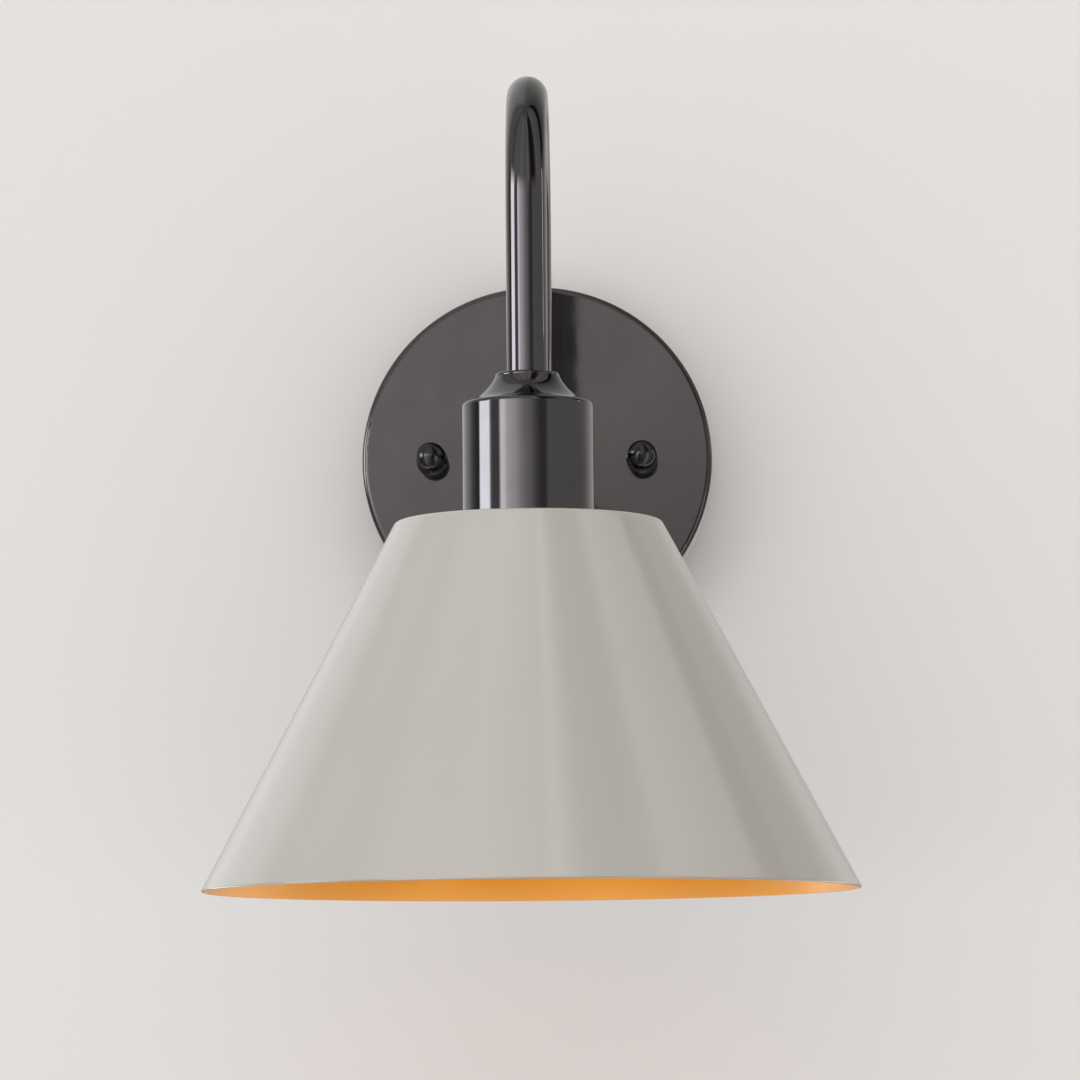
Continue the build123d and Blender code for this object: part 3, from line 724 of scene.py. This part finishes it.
def make_shade(materials):
    """The cone, lacquered outside, with gold leaf inside and a fine brown line on its lip."""
    low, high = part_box("shade")
    rim = (high.x - low.x) / 2 + shade_lip_round * shade_lip_overlap_share
    slant = atan2(high.z - low.z, rim - shade_top_radius)
    shift = shade_wall / sin(slant)
    top_shift = shift - shade_wall / tan(slant)
    under = high.z - shade_wall
    corners = [
        (shade_hole_radius, high.z),
        (shade_top_radius, high.z),
        (rim, low.z),
        (rim - shift, low.z),
        (shade_top_radius - top_shift, under),
        (shade_hole_radius, under),
    ]
    inner_round = shade_top_round - shade_wall / 2
    rounds = [0, shade_top_round, shade_lip_round, shade_lip_round, inner_round, 0]
    outline = rounded_outline(corners, rounds, shade_round_steps)
    outside, lip, inside = range(3)
    finishes = (outside, outside, lip, inside, inside, outside)
    piece = lathe("shade_spun", outline, axis_of("shade"), shade_segments, finishes)
    weigh_normals(piece)
    give(piece, materials["shade_lacquer"], "shade_lacquer", "shade", "shade")
    piece.data.materials.append(materials["shade_lip"])
    piece.data.materials.append(materials["shade_leaf"])


def wind_rod(materials, node, pitch, depth, hollow, lying):
    """Replaces a plain rod with a threaded one, along Y where it lies and upright otherwise."""
    low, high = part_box(node)
    centre = (low + high) / 2
    if lying:
        length = high.y - low.y
        place = Matrix.Translation((centre.x, high.y, centre.z)) @ Matrix.Rotation(pi / 2, 4, "X")
    else:
        length = high.z - low.z
        place = Matrix.Translation((centre.x, centre.y, low.z))
    piece = wound_tube(
        node + "_threaded",
        spread(0, length, pitch / thread_steps),
        thread_radius((high.x - low.x) / 2, depth, pitch, 0, length, pitch),
        lambda height, angle: hollow,
        rod_segments,
        place,
    )
    give(piece, materials["zinc_steel"], "zinc_steel", "fixture", node)


def make_rods(materials):
    """The two studs and the two hollow nipples, with their threads."""
    for node in ("stud_left", "stud_right"):
        wind_rod(materials, node, stud_pitch, stud_thread_depth, rod_hollow, True)
    for node, lying in (("wall_nipple", True), ("socket_nipple", False)):
        wind_rod(materials, node, nipple_pitch, nipple_thread_depth, nipple_bore_radius, lying)


def make_skirt(materials):
    """The lampholder's skirt with the coarse thread that the shade ring runs on."""
    low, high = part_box("lampholder_skirt")
    crest = (high.x - low.x) / 2
    shoulder = high.z - skirt_spigot
    wave = thread_radius(crest, skirt_thread_depth, skirt_pitch, low.z, shoulder, skirt_pitch)

    def outer(height, angle):
        return wave(height, angle) if height <= shoulder else skirt_spigot_radius

    piece = wound_tube(
        "lampholder_skirt_threaded",
        spread(low.z, shoulder, skirt_pitch / thread_steps) + [shoulder + skirt_step, high.z],
        outer,
        lambda height, angle: skirt_bore_radius,
        round_segments,
        Matrix.Translation(axis_of("lampholder_skirt")),
    )
    weigh_normals(piece)
    give(piece, materials["black_plastic"], "black_plastic", "fixture", "lampholder_skirt")


def make_lamp_cap(materials):
    """The lamp's screw cap, rolled into a real helix above its plain skirt."""
    low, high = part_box("bulb_screw_cap")
    crest = (high.x - low.x) / 2
    thread_end = low.z + lamp_plain_skirt
    thread_top = high.z + lamp_pitch
    half_pitch = lamp_pitch / 2
    wave = thread_radius(crest, lamp_thread_depth, lamp_pitch, thread_end, thread_top, half_pitch)

    def outer(height, angle):
        near_top = max(0, 1 - (high.z - height) / half_pitch)
        radius = wave(height, angle)
        return radius + (crest - lamp_thread_depth - radius) * near_top

    piece = wound_tube(
        "bulb_screw_cap_rolled",
        [low.z] + spread(thread_end, high.z, lamp_pitch / (2 * thread_steps)),
        outer,
        lambda height, angle: outer(height, angle) - lamp_cap_wall,
        round_segments,
        Matrix.Translation(axis_of("bulb_screw_cap")),
    )
    give(piece, materials["nickel_cap"], "nickel_cap", "bulb", "bulb_screw_cap")


def make_connectors(materials):
    """The twist-on connectors with finger flutes down their sides."""
    for node in ("line_connector", "neutral_connector"):
        low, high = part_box(node)
        wide = (high.x - low.x) / 2
        length = high.z - low.z
        shoulder = high.z - length * connector_mouth_share
        round_end = low.z + connector_tip_round

        def outer(height, angle):
            taper = min(1, (height - low.z) / (shoulder - low.z))
            radius = connector_tip_radius + (wide - connector_tip_radius) * taper
            flute = (0.5 + 0.5 * cos(connector_flutes * angle)) ** 2
            fade = min(1, 2 * taper) - 2 * max(0, height - shoulder) / length
            radius -= connector_flute_depth * flute * fade
            if height < round_end:
                drop = round_end - height
                edge = max(0, connector_tip_round**2 - drop**2) ** 0.5
                radius += edge - connector_tip_round
            return radius

        def inner(height, angle):
            return lead_radius if height > high.z - connector_grip else rod_hollow

        tip = spread(low.z, round_end, connector_tip_round / connector_tip_steps)
        body = spread(round_end, high.z, length / connector_body_steps)[1:]
        piece = wound_tube(
            node + "_fluted",
            tip + body,
            outer,
            inner,
            round_segments,
            Matrix.Translation(((low.x + high.x) / 2, (low.y + high.y) / 2, 0)),
        )
        weigh_normals(piece)
        give(piece, materials["connector_orange"], "connector_orange", "fixture", node)


# Stage, lights and camera

def see_through_back(tree, shader):
    """Leaves a backdrop visible from its front only, so that views from behind pass through it."""
    geometry = add(tree, "ShaderNodeNewGeometry")
    clear = add(tree, "ShaderNodeBsdfTransparent")
    mix = add(tree, "ShaderNodeMixShader")
    output = tree.nodes["Material Output"]
    tree.links.new(geometry.outputs["Backfacing"], mix.inputs["Fac"])
    tree.links.new(shader.outputs["BSDF"], mix.inputs[1])
    tree.links.new(clear.outputs["BSDF"], mix.inputs[2])
    tree.links.new(mix.outputs["Shader"], output.inputs["Surface"])


def plaster(name, tint):
    """Matt paint on plaster, a little cloudy."""
    material, tree, shader = new_material(name)
    coords = place_coords(tree)
    cloud = noise(tree, coords, *plaster_cloud_noise)
    grain = noise(tree, coords, *plaster_grain_noise)
    patchy_colour(tree, shader, cloud, tint, plaster_dark_share)
    shader.inputs["Roughness"].default_value = plaster_roughness
    bumpy = bump(tree, grain, plaster_grain_height, plaster_grain_share)
    tree.links.new(bumpy, shader.inputs["Normal"])
    see_through_back(tree, shader)
    return material


def make_stage():
    """A wall with the junction box's round opening behind the canopy, and a floor below."""
    inner = []
    outer = []
    for turn in range(wall_ring_points):
        angle = 2 * pi * turn / wall_ring_points
        x = box_opening * cos(angle)
        z = box_opening * sin(angle)
        reach = wall_half / max(abs(x), abs(z))
        inner.append((x, wall_gap, z))
        outer.append((x * reach, wall_gap, z * reach))
    faces = []
    for turn in range(wall_ring_points):
        ahead = (turn + 1) % wall_ring_points
        faces.append((turn, wall_ring_points + turn, wall_ring_points + ahead, ahead))
    wall = mesh_object("wall", inner + outer, faces)
    wall.data.materials.append(plaster("wall_paint", pale_wall))
    level = cad_box[0].z - floor_drop
    corners = [
        (-wall_half, -floor_reach, level),
        (wall_half, -floor_reach, level),
        (wall_half, wall_gap, level),
        (-wall_half, wall_gap, level),
    ]
    floor = mesh_object("floor", corners, [(0, 1, 2, 3)])
    floor.data.materials.append(plaster("floor_paint", pale_floor))
    wall.visible_glossy = False
    floor.visible_glossy = False


def area_light(name, place, target, width, height, power, tint):
    data = bpy.data.lights.new(name, "AREA")
    data.shape = "RECTANGLE"
    data.size = width
    data.size_y = height
    data.energy = power
    data.color = tint
    lamp = bpy.data.objects.new(name, data)
    bpy.context.scene.collection.objects.link(lamp)
    lamp.location = place
    lamp.rotation_euler = (Vector(target) - Vector(place)).to_track_quat("-Z", "Y").to_euler()
    lamp.visible_camera = False
    return lamp


def make_lights():
    """A large soft key below the front, and a narrow strip that only polished pieces mirror."""
    fixture_centre = (cad_box[0] + cad_box[1]) / 2
    key = area_light("key", key_place, fixture_centre, key_size, key_size, key_power, key_tint)
    key.visible_glossy = False
    front_leg = Vector((0, axis_of("socket_cup").y, strip_place.z))
    strip = area_light(
        "strip", strip_place, front_leg, strip_width, strip_height, strip_power, key_tint
    )
    strip.visible_diffuse = False
    make_world()


def sky_ramp(tree, share, stops):
    """A colour ramp whose stops are angles round the room, 0 at the front and negative to the left."""
    ramp = add(tree, "ShaderNodeValToRGB")
    tree.links.new(share, ramp.inputs["Fac"])
    elements = ramp.color_ramp.elements
    for _ in stops[2:]:
        elements.new(1)
    for element, (angle, colour) in zip(elements, stops):
        element.position = angle / full_turn + 0.5
        element.color = (*colour, 1)
    return ramp.outputs["Color"]


def make_world():
    """A plain pale surround, with a studio of soft panels round it for mirror reflections."""
    world = bpy.data.worlds.new("studio")
    bpy.context.scene.world = world
    world.use_nodes = True
    tree = world.node_tree
    background = tree.nodes["Background"]
    coords = add(tree, "ShaderNodeTexCoord")
    split = add(tree, "ShaderNodeSeparateXYZ")
    tree.links.new(coords.outputs["Generated"], split.inputs["Vector"])
    flip = add(tree, "ShaderNodeMath", operation="MULTIPLY")
    flip.inputs[1].default_value = -1
    tree.links.new(split.outputs["Y"], flip.inputs[0])
    around = add(tree, "ShaderNodeMath", operation="ARCTAN2")
    tree.links.new(split.outputs["X"], around.inputs[0])
    tree.links.new(flip.outputs["Value"], around.inputs[1])
    share = spread_values(tree, around.outputs["Value"], 0, 1, (-pi, pi))
    level = sky_ramp(tree, share, level_panels)
    upper = sky_ramp(tree, share, upper_panels)
    low = sky_ramp(tree, share, low_panels)
    room = level
    for colour, (start, end) in ((upper, upper_band), (zenith_tone, zenith_band), (low, low_band)):
        band = spread_values(tree, split.outputs["Z"], 0, 1, (sin(radians(start)), sin(radians(end))))
        room = blend_colors(tree, band, room, colour)
    rays = add(tree, "ShaderNodeLightPath")
    facing = add(tree, "ShaderNodeVectorMath", operation="DOT_PRODUCT")
    facing.inputs[1].default_value = bright_side.normalized()
    tree.links.new(coords.outputs["Generated"], facing.inputs[0])
    share_bright = spread_values(tree, facing.outputs["Value"], 0, 1, (-1, 1))
    soft = blend_colors(tree, share_bright, room_dim, room_bright)
    plain = blend_colors(tree, rays.outputs["Is Camera Ray"], soft, backdrop)
    seen = blend_colors(tree, rays.outputs["Is Glossy Ray"], plain, room)
    tree.links.new(seen, background.inputs["Color"])
    background.inputs["Strength"].default_value = 1


def make_camera():
    data = bpy.data.cameras.new("camera")
    data.sensor_width = camera_sensor_mm
    data.lens = camera_lens_mm
    camera = bpy.data.objects.new("camera", data)
    bpy.context.scene.collection.objects.link(camera)
    turn = (
        Matrix.Rotation(camera_yaw, 4, "Z")
        @ Matrix.Rotation(camera_pitch, 4, "X")
        @ Matrix.Rotation(camera_roll, 4, "Y")
        @ Matrix.Rotation(pi / 2, 4, "X")
    )
    camera.matrix_world = Matrix.Translation(camera_place) @ turn
    bpy.context.scene.camera = camera


make_camera()
materials = make_materials()
dress_frame(materials)
make_shade(materials)
make_rods(materials)
make_skirt(materials)
make_lamp_cap(materials)
make_connectors(materials)
make_stage()
make_lights()
bpy.context.scene.view_settings.view_transform = "Standard"
